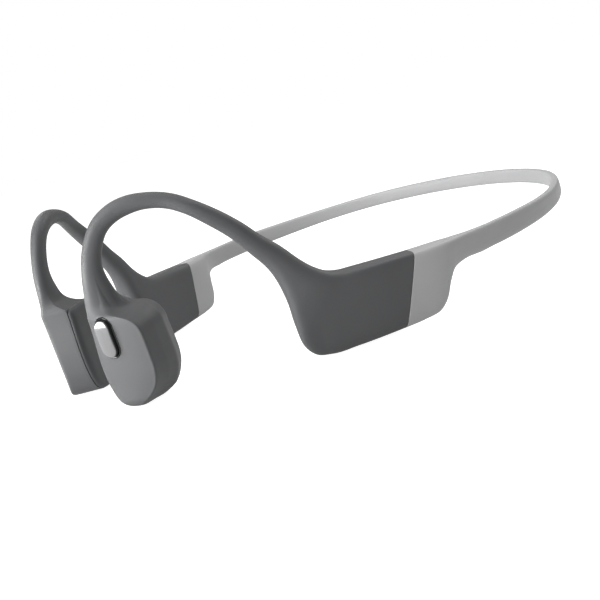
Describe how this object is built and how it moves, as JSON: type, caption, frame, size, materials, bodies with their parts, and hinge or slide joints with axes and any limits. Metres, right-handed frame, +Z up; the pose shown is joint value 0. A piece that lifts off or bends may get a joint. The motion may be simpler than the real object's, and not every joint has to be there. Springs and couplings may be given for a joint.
{
  "type": "bone conduction headphones",
  "caption": "Open-ear wireless bone conduction headset: cheekbone pods on ear hooks, electronics boxes behind the ears and a sprung neckband.",
  "frame": {"origin": "middle of the footprint, on the surface that the pods and the boxes rest on", "axes": "+X to the wearer's left, -Y to the wearer's front, +Z up; it rests with its nose 4.2 degrees down"},
  "size_m": [0.1428, 0.169, 0.0547],
  "materials": {
    "soft_grey": "soft-touch, satin",
    "pale_grey": "soft-touch, satin",
    "pad_grey": "matte",
    "gloss_grey": "gloss",
    "black_plastic": "satin",
    "steel": "satin",
    "magnet_metal": "bright plated",
    "copper": "enamelled wire",
    "titanium": "drawn wire",
    "cable_black": "matte",
    "battery_foil": "pouch foil",
    "board_green": "solder mask",
    "lamp_clear": "clear"
  },
  "bodies": {
    "left_side": {"left_box_housing": "soft_grey", "left_rear_cap": "pale_grey", "left_band_sleeve": "pale_grey", "left_band_wire": "titanium", "left_band_cable": "cable_black", "battery_cell": "battery_foil"},
    "left_pod": {"left_ear_hook": "soft_grey", "left_hook_wire": "titanium", "left_hook_cable": "cable_black", "left_pod_shell": "soft_grey", "left_skin_pad": "pad_grey", "left_transducer_yoke": "steel", "left_transducer_magnet": "magnet_metal", "left_voice_coil": "copper", "left_spring_plate": "steel", "left_microphone": "steel", "button_bezel": "black_plastic", "button_switch": "black_plastic"},
    "multifunction_button": {"multifunction_button": "gloss_grey"},
    "right_side": {"right_box_housing": "soft_grey", "right_rear_cap": "pale_grey", "right_band_sleeve": "pale_grey", "right_band_wire": "titanium", "right_band_cable": "cable_black", "main_board": "board_green", "board_shield": "steel", "antenna": "copper", "charging_socket": "steel", "socket_tongue": "black_plastic", "status_light": "lamp_clear", "volume_up_switch": "black_plastic", "volume_down_switch": "black_plastic"},
    "right_pod": {"right_ear_hook": "soft_grey", "right_hook_wire": "titanium", "right_hook_cable": "cable_black", "right_pod_shell": "soft_grey", "right_skin_pad": "pad_grey", "right_transducer_yoke": "steel", "right_transducer_magnet": "magnet_metal", "right_voice_coil": "copper", "right_spring_plate": "steel", "right_microphone": "steel"},
    "volume_up_button": {"volume_up_button": "pad_grey"},
    "volume_down_button": {"volume_down_button": "pad_grey"},
    "port_cover": {"port_cover": "pad_grey"}
  },
  "joints": [
    {"name": "neckband_flex", "type": "hinge", "parent": "left_side", "child": "right_side", "pos_m": [0, 0.0845, 0.02307], "axis": [0, 0.0738, -0.9973], "range_deg": [0, 18], "stiffness_Nm_per_rad": 0.35},
    {"name": "left_hook_flex", "type": "hinge", "parent": "left_side", "child": "left_pod", "pos_m": [0.05011, -0.04574, 0.02877], "axis": [0, -0.0738, 0.9973], "range_deg": [0, 15], "stiffness_Nm_per_rad": 0.12},
    {"name": "right_hook_flex", "type": "hinge", "parent": "right_side", "child": "right_pod", "pos_m": [-0.05011, -0.04574, 0.02877], "axis": [0, 0.0738, -0.9973], "range_deg": [0, 15], "stiffness_Nm_per_rad": 0.12},
    {"name": "multifunction_press", "type": "slide", "parent": "left_pod", "child": "multifunction_button", "axis": [-0.378, 0.9233, 0.0684], "range_m": [0, 0.0004], "stiffness_N_per_m": 1500, "springref_m": -0.0004},
    {"name": "volume_up_press", "type": "slide", "parent": "right_side", "child": "volume_up_button", "axis": [-0.1061, -0.1274, 0.9862], "range_m": [0, 0.0004], "stiffness_N_per_m": 1500, "springref_m": -0.0004},
    {"name": "volume_down_press", "type": "slide", "parent": "right_side", "child": "volume_down_button", "axis": [-0.1068, -0.126, 0.9863], "range_m": [0, 0.0004], "stiffness_N_per_m": 1500, "springref_m": -0.0004},
    {"name": "port_cover_hinge", "type": "hinge", "parent": "right_side", "child": "port_cover", "pos_m": [-0.0567, -0.01769, 0.00136], "axis": [0.9023, 0.4044, 0.1494], "range_deg": [0, 95]}
  ]
}
